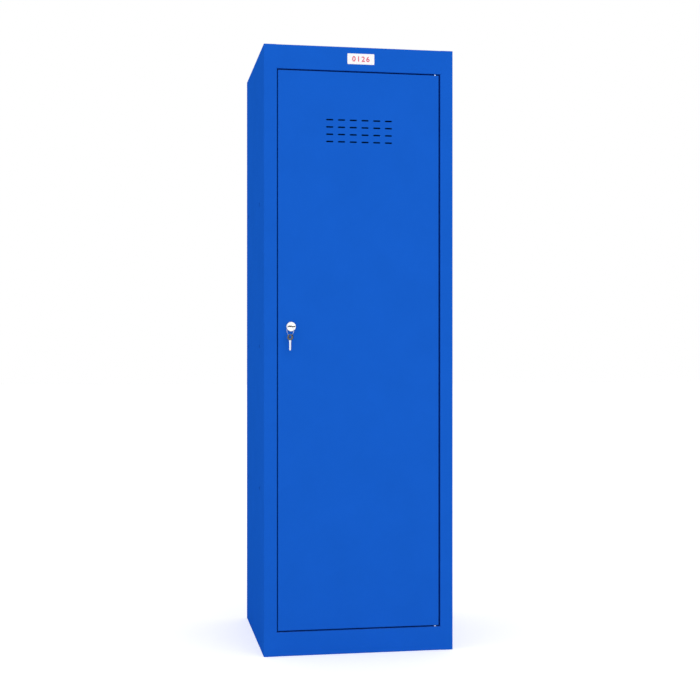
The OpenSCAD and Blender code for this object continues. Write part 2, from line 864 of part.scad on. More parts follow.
// Flat outline of a key's bow, which lies above the line y = 0
module bow_outline() {
    shoulder = bow_l - bow_corner;
    half_bow = bow_w / 2;
    half_blade = blade_w / 2;
    difference() {
        union() {
            polygon([
                [-half_blade, 0], [half_blade, 0], [half_bow, shoulder / 2],
                [half_bow, shoulder], [-half_bow, shoulder], [-half_bow, shoulder / 2]
            ]);
            translate([-half_bow + bow_corner, shoulder - overlap])
                square([bow_w - 2 * bow_corner, bow_corner + overlap]);
            for (x = [-half_bow + bow_corner, half_bow - bow_corner])
                translate([x, shoulder]) circle(bow_corner);
        }
        translate([0, bow_hole_v]) circle(d = bow_hole_d);
    }
}

// Flat outline of a key's blade, which lies below that line, with a cut for each wafer
module blade_outline() {
    half_blade = blade_w / 2;
    half_tip = half_blade / 3;
    tip_y = -blade_l + half_blade;
    difference() {
        polygon([
            [-half_blade, overlap], [-half_blade, tip_y], [-half_tip, -blade_l],
            [half_tip, -blade_l], [half_blade, tip_y], [half_blade, overlap]
        ]);
        for (i = [0:wafer_n - 1], side = [-1, 1])
            translate([side * half_blade, face_y - front_y - bow_gap - wafer_pitch / 2 - i * wafer_pitch])
                rotate(45) square(cut_d * sqrt(2), center = true);
    }
}

module key_blank() {
    difference() {
        union() {
            linear_extrude(bow_t, center = true) bow_outline();
            linear_extrude(key_t, center = true) blade_outline();
        }
        translate([-groove_w / 2, -blade_l - overlap, key_t / 2 - groove_d])
            cube([groove_w, blade_l + overlap, bow_t]);
    }
}

module key() {
    color(nickel) translate([lock_x, shoulder_y, lock_z]) rotate([0, 0, 180]) key_blank();
}

module key_ring() {
    color(steel) translate([ring_x, ring_y, ring_z]) rotate([90, 0, ring_turn])
        rotate_extrude() translate([ring_r, 0]) circle(d = ring_wire_d);
}

// The spare hangs from the bottom of the ring, square to the ring's plane
module spare_key() {
    color(nickel) translate([ring_x, ring_y, spare_hole_z]) rotate([90, 0, ring_turn + 90])
        translate([0, -bow_hole_v, 0]) key_blank();
}

left_side_panel();
right_side_panel();
top_panel();
bottom_panel();
back_panel();
shelf_runners();
hat_shelf();
shelf_rivets();
coat_hook();
hook_rivets();
door_buffers();
number_plate();
upper_hinge_pin();
lower_hinge_pin();
door_panel();
door_stiffener();
upper_hinge_plate();
lower_hinge_plate();
upper_hinge_bush();
lower_hinge_bush();
lock_body();
lock_washer();
lock_nut();
lock_plug();
lock_wafers();
lock_cam();
cam_screw();
key();
key_ring();
spare_key();
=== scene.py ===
"""Dresses the packed locker: powder-coated sheet steel, a plated lock, its keys and a number plate."""

import math

import bmesh
import bpy
from bpy.props import (
    BoolProperty,
    FloatProperty,
    FloatVectorProperty,
    PointerProperty,
    StringProperty,
)
from mathutils import Matrix, Vector


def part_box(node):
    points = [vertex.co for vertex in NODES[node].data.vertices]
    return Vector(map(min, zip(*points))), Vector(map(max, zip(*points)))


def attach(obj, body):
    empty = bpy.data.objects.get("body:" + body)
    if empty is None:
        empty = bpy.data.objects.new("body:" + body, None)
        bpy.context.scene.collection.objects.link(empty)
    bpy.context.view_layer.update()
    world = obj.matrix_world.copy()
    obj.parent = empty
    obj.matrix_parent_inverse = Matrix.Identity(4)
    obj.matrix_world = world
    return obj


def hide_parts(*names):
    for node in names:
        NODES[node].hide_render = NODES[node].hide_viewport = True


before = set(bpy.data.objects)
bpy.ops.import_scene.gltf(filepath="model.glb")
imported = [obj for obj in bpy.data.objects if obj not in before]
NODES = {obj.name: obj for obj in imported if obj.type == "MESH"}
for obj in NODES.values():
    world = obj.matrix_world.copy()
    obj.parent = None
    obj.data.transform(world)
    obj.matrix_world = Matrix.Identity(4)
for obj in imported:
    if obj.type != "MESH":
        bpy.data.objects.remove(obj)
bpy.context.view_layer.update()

bl_info = {
    "name": "Locker dressing",
    "version": (1, 0, 0),
    "blender": (4, 5, 0),
    "location": "View3D > Sidebar > Locker",
    "description": "Finishes a steel locker and builds its small fittings on the packed frame",
    "category": "Object",
}

MM = 0.001
CABINET_LOW, CABINET_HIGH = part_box("left_side_panel")[0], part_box("right_side_panel")[1]
DOOR_LOW, DOOR_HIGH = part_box("door_panel")
LOCK_LOW, LOCK_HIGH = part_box("lock_body")
LOCK_MIDDLE = (LOCK_LOW + LOCK_HIGH) / 2
QUARTER_TURN = math.radians(90)

# The frame's parts that stay in view, by their finish
FINISHES = {
    "cabinet coat": [
        "left_side_panel", "right_side_panel", "top_panel", "bottom_panel", "back_panel",
        "shelf_runners", "hat_shelf",
    ],
    "door coat": ["door_panel", "door_stiffener"],
    "zinc plate": [
        "shelf_rivets", "hook_rivets", "upper_hinge_plate", "lower_hinge_plate", "lock_washer",
        "lock_nut", "lock_cam", "cam_screw", "coat_hook",
    ],
    "pin zinc": ["upper_hinge_pin", "lower_hinge_pin"],
    "lock chrome": ["lock_body"],
    "plug nickel": ["lock_plug"],
    "wafer brass": ["lock_wafers"],
    "nylon": ["upper_hinge_bush", "lower_hinge_bush"],
    "buffer rubber": ["door_buffers"],
}

# Plated and polished metals: marks counts their tool marks per metre along X, Y and Z, and depth
# is how deep these are, in metres
METALS = {
    "zinc plate": {"colour": (0.74, 0.77, 0.83), "roughness": 0.3, "marks": (900, 900, 900)},
    # Hinge pins: zinc tinted bluer and a little paler than the other zinc, a painted highlight so the
    # pins read bright in the shaded hinge gaps
    "pin zinc": {"colour": (0.68, 0.8, 0.97), "roughness": 0.24, "marks": (900, 900, 900)},
    "lock chrome": {
        "colour": (0.67, 0.685, 0.695), "roughness": 0.12, "marks": (500, 2500, 500),
        "depth": 0.0015 * MM,
    },
    "plug nickel": {"colour": (0.66, 0.67, 0.67), "roughness": 0.18, "marks": (2600, 260, 2600)},
    "bright nickel": {"colour": (0.56, 0.59, 0.65), "roughness": 0.2, "marks": (2600, 2600, 260)},
    # The keys' bows: the same nickel as the blades painted far darker, a painted shade
    "shaded nickel": {"colour": (0.105, 0.103, 0.09), "roughness": 0.42, "marks": (1400, 1400, 1400)},
    "ring steel": {"colour": (0.6, 0.61, 0.63), "roughness": 0.18, "marks": (1800, 1800, 1800)},
    "wafer brass": {"colour": (0.78, 0.57, 0.25), "roughness": 0.3, "marks": (2200, 300, 2200)},
}

# Plastics and rubber: grain is the width of their ripples and height their height, both in metres.
# The two on the number plate take their colours from its settings
MOULDINGS = {
    "white plate": {"roughness": 0.38, "grain": 0.9 * MM, "height": 0.003 * MM},
    "plate ink": {"roughness": 0.45, "grain": 0.5 * MM, "height": 0.002 * MM},
    "nylon": {
        "colour": (0.02, 0.02, 0.022), "roughness": 0.5, "grain": 0.6 * MM, "height": 0.006 * MM,
    },
    "buffer rubber": {
        "colour": (0.022, 0.022, 0.024), "roughness": 0.68, "grain": 0.5 * MM, "height": 0.02 * MM,
        "specular": 0.3,
    },
}

# Softboxes: their place, the side of their square and their power in watts
LAMPS = {
    "front softbox": {"place": (1.2, -4.6, 1.9), "size": 5.0, "power": 88.0},
    "left softbox": {"place": (-4.4, -0.4, 1.5), "size": 4.0, "power": 31.0},
}
LAMP_TARGET = (0, 0, 0.6)


# Settings that a user would change


class PaintSettings(bpy.types.PropertyGroup):
    """Powder coat on the sheet steel"""

    colour: FloatVectorProperty(
        name="Colour", description="Colour of the powder coat", subtype="COLOR",
        default=(0.0082, 0.1105, 0.588), min=0, max=1,
    )
    roughness: FloatProperty(
        name="Roughness", description="Roughness of the cured coat", default=0.5, min=0.05, max=1,
    )
    specular: FloatProperty(
        name="Specular", description="Strength of the coat's reflections", default=0.0, min=0, max=1,
    )
    peel_size: FloatProperty(
        name="Peel size", description="Width of the ripples in the coat",
        default=2.6 * MM, min=0.5 * MM, unit="LENGTH",
    )
    peel_height: FloatProperty(
        name="Peel height", description="Height of those ripples",
        default=0.012 * MM, min=0, unit="LENGTH", precision=6,
    )
    wave_height: FloatProperty(
        name="Wave height", description="Slight waviness of the flat sheet",
        default=0.25 * MM, min=0, unit="LENGTH", precision=5,
    )


class WearSettings(bpy.types.PropertyGroup):
    """Dust, small marks of use, and paler edges that are partly wear and partly a painted highlight"""

    dust: FloatProperty(name="Dust", description="Dust on upward faces", default=0.05, min=0, max=1)
    dust_colour: FloatVectorProperty(
        name="Dust colour", description="Colour of the dust", subtype="COLOR",
        default=(0.42, 0.42, 0.41), min=0, max=1,
    )
    # Edges are painted paler: partly rubbed wear, partly a painted highlight standing in for the bends
    # catching light
    edge_reach: FloatProperty(
        name="Edge reach", description="Width of the rubbed band along outer edges",
        default=1.2 * MM, min=0.1 * MM, unit="LENGTH",
    )
    edge_rub_and_highlight: FloatProperty(
        name="Edge rub and highlight", description="How far the edges' colour is rubbed paler",
        default=0.16, min=0, max=1,
    )
    scuff_reach: FloatProperty(
        name="Scuff reach", description="Radius around the lock in which keys leave marks",
        default=26 * MM, min=0, unit="LENGTH",
    )
    scuff: FloatProperty(
        name="Scuff", description="Strength of the keys' marks", default=0.2, min=0, max=1,
    )


class PlateSettings(bpy.types.PropertyGroup):
    """Number plate on the rail above the door"""

    number: StringProperty(name="Number", description="Locker's number", default="0126")
    colour: FloatVectorProperty(
        name="Plate", description="Colour of the plate", subtype="COLOR",
        default=(0.92, 0.91, 0.915), min=0, max=1,
    )
    ink: FloatVectorProperty(
        name="Ink", description="Colour of the digits", subtype="COLOR",
        default=(0.72, 0.05, 0.13), min=0, max=1,
    )
    digit_height: FloatProperty(
        name="Digit height", description="Height of the digits", default=11 * MM, min=MM, unit="LENGTH",
    )
    digit_spacing: FloatProperty(
        name="Digit spacing", description="Spacing of the digits, where 1 is the font's own",
        default=1.3, min=0.5,
    )
    digit_weight: FloatProperty(
        name="Digit weight", description="Thickening of the strokes, as a share of the font's size",
        default=0.022, min=0, max=0.05,
    )
    digit_rise: FloatProperty(
        name="Digit rise", description="Height of the digits over the plate",
        default=0.12 * MM, min=0, unit="LENGTH", precision=5,
    )
    edge: FloatProperty(
        name="Edge", description="Rounding of the plate's edge", default=0.25 * MM, min=0,
        unit="LENGTH", precision=5,
    )


class LockSettings(bpy.types.PropertyGroup):
    """Small turned details of the cam lock"""

    bead: FloatProperty(
        name="Bead", description="Thickness of the beads turned on the lock's face",
        default=0.5 * MM, min=0.1 * MM, unit="LENGTH", precision=5,
    )
    thread_pitch: FloatProperty(
        name="Thread pitch", description="Pitch of the thread on the barrel",
        default=1.5 * MM, min=0.5 * MM, unit="LENGTH",
    )
    thread_depth: FloatProperty(
        name="Thread depth", description="How far the thread stands over the barrel",
        default=0.35 * MM, min=0.05 * MM, unit="LENGTH", precision=5,
    )


class KeySettings(bpy.types.PropertyGroup):
    """Keys and their split ring"""

    edge: FloatProperty(
        name="Edge", description="Rounding of a key's edges", default=0.22 * MM, min=0, unit="LENGTH",
        precision=5,
    )
    # Past this length the bow gets nickel painted dark, a painted shade
    blade_length: FloatProperty(
        name="Blade length", description="Length from a key's tip to where the bow's painted shade starts",
        default=20.5 * MM, min=5 * MM, unit="LENGTH",
    )
    ring_turns: FloatProperty(
        name="Ring turns", description="Turns of wire in the split ring", default=1.92, min=1, max=3,
    )
    ring_wire: FloatProperty(
        name="Ring wire", description="Diameter of that wire", default=0.6 * MM, min=0.2 * MM,
        unit="LENGTH", precision=5,
    )


class WeldSettings(bpy.types.PropertyGroup):
    """Marks of the spot welder's tips under the paint"""

    show: BoolProperty(name="Show", description="Build the weld marks", default=True)
    pitch: FloatProperty(
        name="Pitch", description="Distance between welds in a row", default=70 * MM, min=10 * MM,
        unit="LENGTH",
    )
    radius: FloatProperty(
        name="Radius", description="Radius of a mark", default=2.4 * MM, min=MM, unit="LENGTH",
    )
    rise: FloatProperty(
        name="Rise", description="Height of a mark's rim over the sheet", default=0.14 * MM, min=0,
        unit="LENGTH", precision=5,
    )


class StageSettings(bpy.types.PropertyGroup):
    """Camera, lamps and floor"""

    camera_place: FloatVectorProperty(
        name="Camera", description="Place of the camera", subtype="TRANSLATION", unit="LENGTH",
        default=(-0.4512, -2.7594, 0.6107),
    )
    camera_heading: FloatProperty(
        name="Heading", description="Camera's turn from straight ahead to the right", subtype="ANGLE",
        default=math.radians(9.99),
    )
    lens: FloatProperty(name="Lens", description="Focal length in millimetres", default=66.55, min=10)
    shift: FloatProperty(name="Shift", description="Sideways lens shift", default=-0.0142)
    floor_size: FloatProperty(
        name="Floor", description="Side of the floor", default=40.0, min=2, unit="LENGTH",
    )
    floor_glow: FloatProperty(
        name="Floor glow", description="Glow that whitens the floor for the camera and in reflections",
        default=0.42, min=0, max=1,
    )
    world_light: FloatProperty(
        name="World light", description="Strength of the light from the white surroundings",
        default=0.72, min=0, max=1,
    )


SETTINGS = {
    "locker_paint": PaintSettings,
    "locker_wear": WearSettings,
    "locker_plate": PlateSettings,
    "locker_lock": LockSettings,
    "locker_keys": KeySettings,
    "locker_welds": WeldSettings,
    "locker_stage": StageSettings,
}


# Helpers for node trees


def new_group(name, kind, inputs, outputs):
    """A node group with the named sockets, and its input and output nodes."""
    tree = bpy.data.node_groups.new(name, kind)
    for label, socket_type, value in inputs:
        socket = tree.interface.new_socket(label, in_out="INPUT", socket_type=socket_type)
        if value is not None:
            socket.default_value = value
    for label, socket_type in outputs:
        tree.interface.new_socket(label, in_out="OUTPUT", socket_type=socket_type)
    return tree, tree.nodes.new("NodeGroupInput"), tree.nodes.new("NodeGroupOutput")


def add(tree, kind, links=None, **settings):
    """A node with its settings, and with values or sockets put into the inputs that links names."""
    node = tree.nodes.new(kind)
    for label, value in settings.items():
        setattr(node, label, value)
    for label, value in (links or {}).items():
        socket = node.inputs[label]
        if isinstance(value, bpy.types.NodeSocket):
            tree.links.new(value, socket)
        else:
            socket.default_value = value
    return node


def maths(tree, operation, first, second, clamp=False):
    """Result of a Math node."""
    links = {0: first, 1: second}
    return add(tree, "ShaderNodeMath", links, operation=operation, use_clamp=clamp).outputs[0]


def vector_maths(tree, operation, first, second=(0, 0, 0)):
    """Result of a Vector Math node."""
    node = add(tree, "ShaderNodeVectorMath", {0: first, 1: second}, operation=operation)
    return node.outputs["Value"] if operation == "DISTANCE" else node.outputs[0]


def smooth_step(tree, value, low, high):
    """Goes smoothly from 0 where value is low to 1 where it is high."""
    links = {"Value": value, "From Min": low, "From Max": high}
    return add(tree, "ShaderNodeMapRange", links, interpolation_type="SMOOTHSTEP").outputs["Result"]


def mix_colour(tree, share, first, second):
    """The first colour with a share of the second."""
    links = {0: share, 6: first, 7: second}
    return add(tree, "ShaderNodeMix", links, data_type="RGBA").outputs[2]


def noise(tree, vector, scale, detail=2.0, roughness=0.5):
    """Noise from 0 to 1, with scale waves to the metre on Object coordinates."""
    links = {"Vector": vector, "Scale": scale, "Detail": detail, "Roughness": roughness}
    return add(tree, "ShaderNodeTexNoise", links).outputs["Fac"]


def seen_rays(tree):
    """1 for rays from the camera, and for those that metal or glass sends on."""
    paths = add(tree, "ShaderNodeLightPath").outputs
    seen = maths(tree, "MAXIMUM", paths["Is Camera Ray"], paths["Is Glossy Ray"])
    return maths(tree, "MAXIMUM", seen, paths["Is Transmission Ray"])


def product(tree, *factors):
    """Product of two or more values."""
    result = factors[0]
    for factor in factors[1:]:
        result = maths(tree, "MULTIPLY", result, factor)
    return result


def fading(tree, distance, reach):
    """Goes smoothly from 1 at no distance to 0 at the reach."""
    return maths(tree, "SUBTRACT", 1.0, smooth_step(tree, distance, 0.0, reach))


# Shader groups that several finishes share


def coat_ripple_group():
    """Orange peel and slight waves of painted sheet, as a height in metres and a mask of mottle."""
    tree, start, end = new_group(
        "coat ripple", "ShaderNodeTree",
        [
            ("Vector", "NodeSocketVector", (0, 0, 0)),
            ("Peel Scale", "NodeSocketFloat", 400.0),
            ("Peel Height", "NodeSocketFloat", 0.01 * MM),
            ("Wave Height", "NodeSocketFloat", 0.2 * MM),
        ],
        [("Height", "NodeSocketFloat"), ("Mottle", "NodeSocketFloat")],
    )
    wave_scale, mottle_scale = 5.5, 14.0
    place = start.outputs["Vector"]
    peel = noise(tree, place, start.outputs["Peel Scale"], detail=1.5)
    wave = noise(tree, place, wave_scale, detail=1.0)
    height = maths(
        tree, "ADD",
        product(tree, peel, start.outputs["Peel Height"]),
        product(tree, wave, start.outputs["Wave Height"]),
    )
    mottle = noise(tree, place, mottle_scale, detail=4.0, roughness=0.6)
    tree.links.new(height, end.inputs["Height"])
    tree.links.new(mottle, end.inputs["Mottle"])
    return tree


def rub_and_highlight_group():
    """Mask along the outer edges of a box, broken up by noise: rubbed wear, and a painted highlight
    where the bends would catch light.
    """
    tree, start, end = new_group(
        "edge rub and highlight", "ShaderNodeTree",
        [
            ("Vector", "NodeSocketVector", (0, 0, 0)),
            ("Low", "NodeSocketVector", (0, 0, 0)),
            ("High", "NodeSocketVector", (1, 1, 1)),
            ("Reach", "NodeSocketFloat", MM),
            ("Amount", "NodeSocketFloat", 0.2),
        ],
        [("Mask", "NodeSocketFloat")],
    )
    break_scale = 90.0
    kept, rubbed_and_highlit = 0.35, 0.7
    place = start.outputs["Vector"]
    above = vector_maths(tree, "SUBTRACT", place, start.outputs["Low"])
    below = vector_maths(tree, "SUBTRACT", start.outputs["High"], place)
    nearest = vector_maths(tree, "ABSOLUTE", vector_maths(tree, "MINIMUM", above, below))
    parts = add(tree, "ShaderNodeSeparateXYZ", {0: nearest}).outputs
    total = maths(tree, "ADD", maths(tree, "ADD", parts[0], parts[1]), parts[2])
    least = maths(tree, "MINIMUM", maths(tree, "MINIMUM", parts[0], parts[1]), parts[2])
    most = maths(tree, "MAXIMUM", maths(tree, "MAXIMUM", parts[0], parts[1]), parts[2])
    second = maths(tree, "SUBTRACT", maths(tree, "SUBTRACT", total, least), most)
    near = fading(tree, second, start.outputs["Reach"])
    broken = noise(tree, place, break_scale, detail=5.0, roughness=0.65)
    mask = product(tree, near, smooth_step(tree, broken, kept, rubbed_and_highlit), start.outputs["Amount"])
    tree.links.new(mask, end.inputs["Mask"])
    return tree


def dust_group():
    """Mask of fine dust lying on faces that look upwards."""
    tree, start, end = new_group(
        "dust film", "ShaderNodeTree",
        [
            ("Vector", "NodeSocketVector", (0, 0, 0)),
            ("Normal", "NodeSocketVector", (0, 0, 1)),
            ("Amount", "NodeSocketFloat", 0.1),
        ],
        [("Mask", "NodeSocketFloat")],
    )
    patch_scale = 9.0
    bare, covered = 0.3, 0.75
    steep, level = 0.35, 0.95
    up = add(tree, "ShaderNodeSeparateXYZ", {0: start.outputs["Normal"]}).outputs[2]
    facing = smooth_step(tree, up, steep, level)
    patchy = noise(tree, start.outputs["Vector"], patch_scale, detail=6.0, roughness=0.7)
    mask = product(tree, facing, smooth_step(tree, patchy, bare, covered), start.outputs["Amount"])
    tree.links.new(mask, end.inputs["Mask"])
    return tree


def scratch_group():
    """Mask of fine crossing scratches within a ball around a point."""
    tree, start, end = new_group(
        "scratches", "ShaderNodeTree",
        [
            ("Vector", "NodeSocketVector", (0, 0, 0)),
            ("Centre", "NodeSocketVector", (0, 0, 0)),
            ("Reach", "NodeSocketFloat", 20 * MM),
            ("Amount", "NodeSocketFloat", 0.2),
        ],
        [("Mask", "NodeSocketFloat")],
    )
    across, along = 2600, 130
    clean, scratched = 0.66, 0.74
    place = start.outputs["Vector"]
    sets = []
    for turn in (0.5, 1.9):
        links = {"Vector": place, "Rotation": (0, turn, 0), "Scale": (across, across, along)}
        stretched = add(tree, "ShaderNodeMapping", links).outputs[0]
        sets.append(smooth_step(tree, noise(tree, stretched, 1.0), clean, scratched))
    lines = maths(tree, "MAXIMUM", *sets)
    distance = vector_maths(tree, "DISTANCE", place, start.outputs["Centre"])
    near = fading(tree, distance, start.outputs["Reach"])
    mask = product(tree, lines, near, start.outputs["Amount"])
    tree.links.new(mask, end.inputs["Mask"])
    return tree


def tool_marks_group():
    """Fine tool marks, counted per metre along each axis, as a mask and a height in metres."""
    tree, start, end = new_group(
        "tool marks", "ShaderNodeTree",
        [
            ("Vector", "NodeSocketVector", (0, 0, 0)),
            ("Marks", "NodeSocketVector", (3000, 3000, 200)),
            ("Depth", "NodeSocketFloat", 0.004 * MM),
        ],
        [("Mask", "NodeSocketFloat"), ("Height", "NodeSocketFloat")],
    )
    place = vector_maths(tree, "MULTIPLY", start.outputs["Vector"], start.outputs["Marks"])
    marks = noise(tree, place, 1.0, detail=3.0, roughness=0.6)
    height = product(tree, marks, start.outputs["Depth"])
    tree.links.new(marks, end.inputs["Mask"])
    tree.links.new(height, end.inputs["Height"])
    return tree


GROUP_MAKERS = {
    "coat ripple": coat_ripple_group,
    "edge rub and highlight": rub_and_highlight_group,
    "dust film": dust_group,
    "scratches": scratch_group,
    "tool marks": tool_marks_group,
}


def use_group(tree, name, links):
    """Places a shared group, and builds it on its first use."""
    shared = bpy.data.node_groups.get(name) or GROUP_MAKERS[name]()
    return add(tree, "ShaderNodeGroup", links, node_tree=shared).outputs


# Materials


def blank_material(name):
    """A material with its Principled shader, and the object's own coordinates."""
    made = bpy.data.materials.new(name)
    made.use_nodes = True
    tree = made.node_tree
    shader = tree.nodes["Principled BSDF"]
    place = add(tree, "ShaderNodeTexCoord").outputs["Object"]
    return made, tree, shader, place


def bump(tree, shader, height):
    """Gives a shader's surface a height in metres."""
    made = add(tree, "ShaderNodeBump", {"Height": height, "Distance": 1.0, "Strength": 1.0})
    tree.links.new(made.outputs["Normal"], shader.inputs["Normal"])


def shade(colour, share, lift=0.0):
    """A colour made darker or paler, with its alpha."""
    return [min(1, share * part + lift) for part in colour] + [1]


def vary(tree, middle, mask, spread):
    """A value that a mask from 0 to 1 spreads around its middle."""
    return maths(tree, "ADD", middle - spread / 2, product(tree, mask, spread))


def powder_coat(name, low, high):
    """Satin powder coat on a folded box that reaches from low to high."""
    paint = bpy.context.scene.locker_paint
    wear = bpy.context.scene.locker_wear
    dust_roughness = 0.5
    made, tree, shader, place = blank_material(name)
    ripple = use_group(tree, "coat ripple", {
        "Vector": place, "Peel Scale": 1 / paint.peel_size, "Peel Height": paint.peel_height,
        "Wave Height": paint.wave_height,
    })
    # Paler band along the outer edges: partly wear, partly a painted highlight on the bends
    rub_and_highlight = use_group(tree, "edge rub and highlight", {
        "Vector": place, "Low": low, "High": high, "Reach": wear.edge_reach, "Amount": wear.edge_rub_and_highlight,
    })["Mask"]
    facing = add(tree, "ShaderNodeNewGeometry").outputs["Normal"]
    dust = use_group(tree, "dust film", {"Vector": place, "Normal": facing, "Amount": wear.dust})["Mask"]
    scuff = use_group(tree, "scratches", {
        "Vector": place, "Centre": LOCK_MIDDLE, "Reach": wear.scuff_reach, "Amount": wear.scuff,
    })["Mask"]
    deep = shade(paint.colour, 0.94)
    pale = shade(paint.colour, 1.05, 0.0005)
    # Paler paint for the key scuffs, which are wear, and for the edge band, which is partly wear and
    # partly a painted highlight
    rubbed_and_highlit = shade(paint.colour, 1.25, 0.03)
    base = mix_colour(tree, ripple["Mottle"], deep, pale)
    base = mix_colour(tree, maths(tree, "MAXIMUM", rub_and_highlight, scuff), base, rubbed_and_highlit)
    base = mix_colour(tree, dust, base, shade(wear.dust_colour, 1))
    rough = vary(tree, paint.roughness, ripple["Mottle"], spread=0.06)
    rough = maths(tree, "ADD", rough, product(tree, dust, dust_roughness), clamp=True)
    tree.links.new(base, shader.inputs["Base Color"])
    tree.links.new(rough, shader.inputs["Roughness"])
    shader.inputs["Specular IOR Level"].default_value = paint.specular
    bump(tree, shader, ripple["Height"])
    return made


def plated(name, colour, roughness, marks, depth=0.003 * MM):
    """Plated or polished metal with fine tool marks."""
    made, tree, shader, place = blank_material(name)
    marked = use_group(tree, "tool marks", {"Vector": place, "Marks": marks, "Depth": depth})
    deep, pale = shade(colour, 0.86), shade(colour, 1.06)
    base = mix_colour(tree, marked["Mask"], deep, pale)
    rough = vary(tree, roughness, marked["Mask"], spread=roughness / 2)
    tree.links.new(base, shader.inputs["Base Color"])
    tree.links.new(rough, shader.inputs["Roughness"])
    shader.inputs["Metallic"].default_value = 1.0
    bump(tree, shader, marked["Height"])
    return made


def moulded(name, colour, roughness, grain, height, specular=0.5):
    """Moulded plastic or rubber with a fine grain."""
    made, tree, shader, place = blank_material(name)
    ripple = use_group(tree, "coat ripple", {
        "Vector": place, "Peel Scale": 1 / grain, "Peel Height": height, "Wave Height": 0.0,
    })
    deep, pale = shade(colour, 0.95), shade(colour, 1.04)
    base = mix_colour(tree, ripple["Mottle"], deep, pale)
    rough = vary(tree, roughness, ripple["Mottle"], spread=0.08)
    tree.links.new(base, shader.inputs["Base Color"])
    tree.links.new(rough, shader.inputs["Roughness"])
    shader.inputs["Specular IOR Level"].default_value = specular
    bump(tree, shader, ripple["Height"])
    return made


def finish_material(name):
    """A named finish, made on its first use."""
    found = bpy.data.materials.get(name)
    if found:
        return found
    if name == "door coat":
        return powder_coat(name, DOOR_LOW, DOOR_HIGH)
    if name == "cabinet coat":
        return powder_coat(name, CABINET_LOW, CABINET_HIGH)
    if name in METALS:
        return plated(name, **METALS[name])
    plate = bpy.context.scene.locker_plate
    plate_colours = {"white plate": plate.colour, "plate ink": plate.ink}
    values = dict(MOULDINGS[name])
    if name in plate_colours:
        values["colour"] = plate_colours[name]
    return moulded(name, **values)


# Helpers for pieces


def put_material(piece, *names):
    """Sets a piece's finishes in their order, and leaves which face has which."""
    slots = piece.data.materials
    for index, name in enumerate(names):
        if index == len(slots):
            slots.append(None)
        slots[index] = finish_material(name)


def new_piece(name, mesh, body, slot, *materials):
    """A finished piece at the origin, riding on a body."""
    mesh.name = name
    piece = bpy.data.objects.new(name, mesh)
    bpy.context.scene.collection.objects.link(piece)
    if materials:
        put_material(piece, *materials)
    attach(piece, body)
    return piece


def merged_copy(node, cut=None, along=None):
    """A bmesh copy of a CAD node with its doubles merged and its flat faces made whole.

    With a cut, the faces past that point in the direction along are split off and get material 1.
    """
    copy = bmesh.new()
    copy.from_mesh(NODES[node].data)
    bmesh.ops.remove_doubles(copy, verts=copy.verts, dist=0.002 * MM)
    if cut is not None:
        parts = [*copy.verts, *copy.edges, *copy.faces]
        bmesh.ops.bisect_plane(copy, geom=parts, plane_co=cut, plane_no=along)
        for face in copy.faces:
            face.material_index = int((face.calc_center_median() - cut).dot(along) > 0)
    flat_angle = math.radians(1.5)
    bmesh.ops.dissolve_limit(
        copy, angle_limit=flat_angle, verts=copy.verts, edges=copy.edges, delimit={"MATERIAL"},
    )
    return copy


def soften_edges(copy, width):
    """Rounds the sharp edges of a bmesh."""
    sharp = math.radians(35)
    edges = [e for e in copy.edges if len(e.link_faces) == 2 and e.calc_face_angle() > sharp]
    bmesh.ops.bevel(
        copy, geom=edges, offset=width, segments=2, profile=0.6, affect="EDGES", clamp_overlap=True,
    )


def mesh_from(copy, name):
    """Turns a bmesh into a flat-shaded mesh, with faces turned outwards."""
    bmesh.ops.recalc_face_normals(copy, faces=copy.faces)
    made = bpy.data.meshes.new(name)
    for face in copy.faces:
        face.smooth = False
    copy.to_mesh(made)
    copy.free()
    return made


def grown_mesh(name, tree, rows):
    """Plain mesh of a geometry tree that is stacked once for each row of input values."""
    holder = bpy.data.objects.new(name, bpy.data.meshes.new(name))
    bpy.context.scene.collection.objects.link(holder)
    sockets = {s.name: s.identifier for s in tree.interface.items_tree if s.in_out == "INPUT"}
    for row in rows:
        modifier = holder.modifiers.new("grow", "NODES")
        modifier.node_group = tree
        for label, value in row.items():
            modifier[sockets[label]] = value
    bpy.context.view_layer.update()
    evaluated = holder.evaluated_get(bpy.context.evaluated_depsgraph_get())
    made = bpy.data.meshes.new_from_object(evaluated)
    holder.modifiers.clear()
    bpy.data.objects.remove(holder)
    return made


def geometry_tree(name, inputs):
    """Geometry tree that adds to what comes in, with the node that joins them."""
    sockets = [("Geometry", "NodeSocketGeometry", None), *inputs]
    tree, start, end = new_group(name, "GeometryNodeTree", sockets, [("Geometry", "NodeSocketGeometry")])
    tree.is_modifier = True
    join = add(tree, "GeometryNodeJoinGeometry")
    tree.links.new(join.outputs[0], end.inputs[0])
    tree.links.new(start.outputs["Geometry"], join.inputs[0])
    return tree, start.outputs, join


def end_tree(tree, geometry, material, join):
    """Ends a tree in real mesh with its material."""
    real = add(tree, "GeometryNodeRealizeInstances", {"Geometry": geometry}).outputs[0]
    painted = add(tree, "GeometryNodeSetMaterial", {"Geometry": real, "Material": material}).outputs[0]
    tree.links.new(painted, join.inputs[0])


def circle(tree, points, radius):
    """A circle in the XY plane."""
    links = {"Resolution": points, "Radius": radius}
    return add(tree, "GeometryNodeCurvePrimitiveCircle", links).outputs[0]


def tube(tree, path, section, closed_ends=False):
    """A section swept along a path."""
    links = {"Curve": path, "Profile Curve": section, "Fill Caps": closed_ends}
    return add(tree, "GeometryNodeCurveToMesh", links).outputs[0]


# Geometry trees


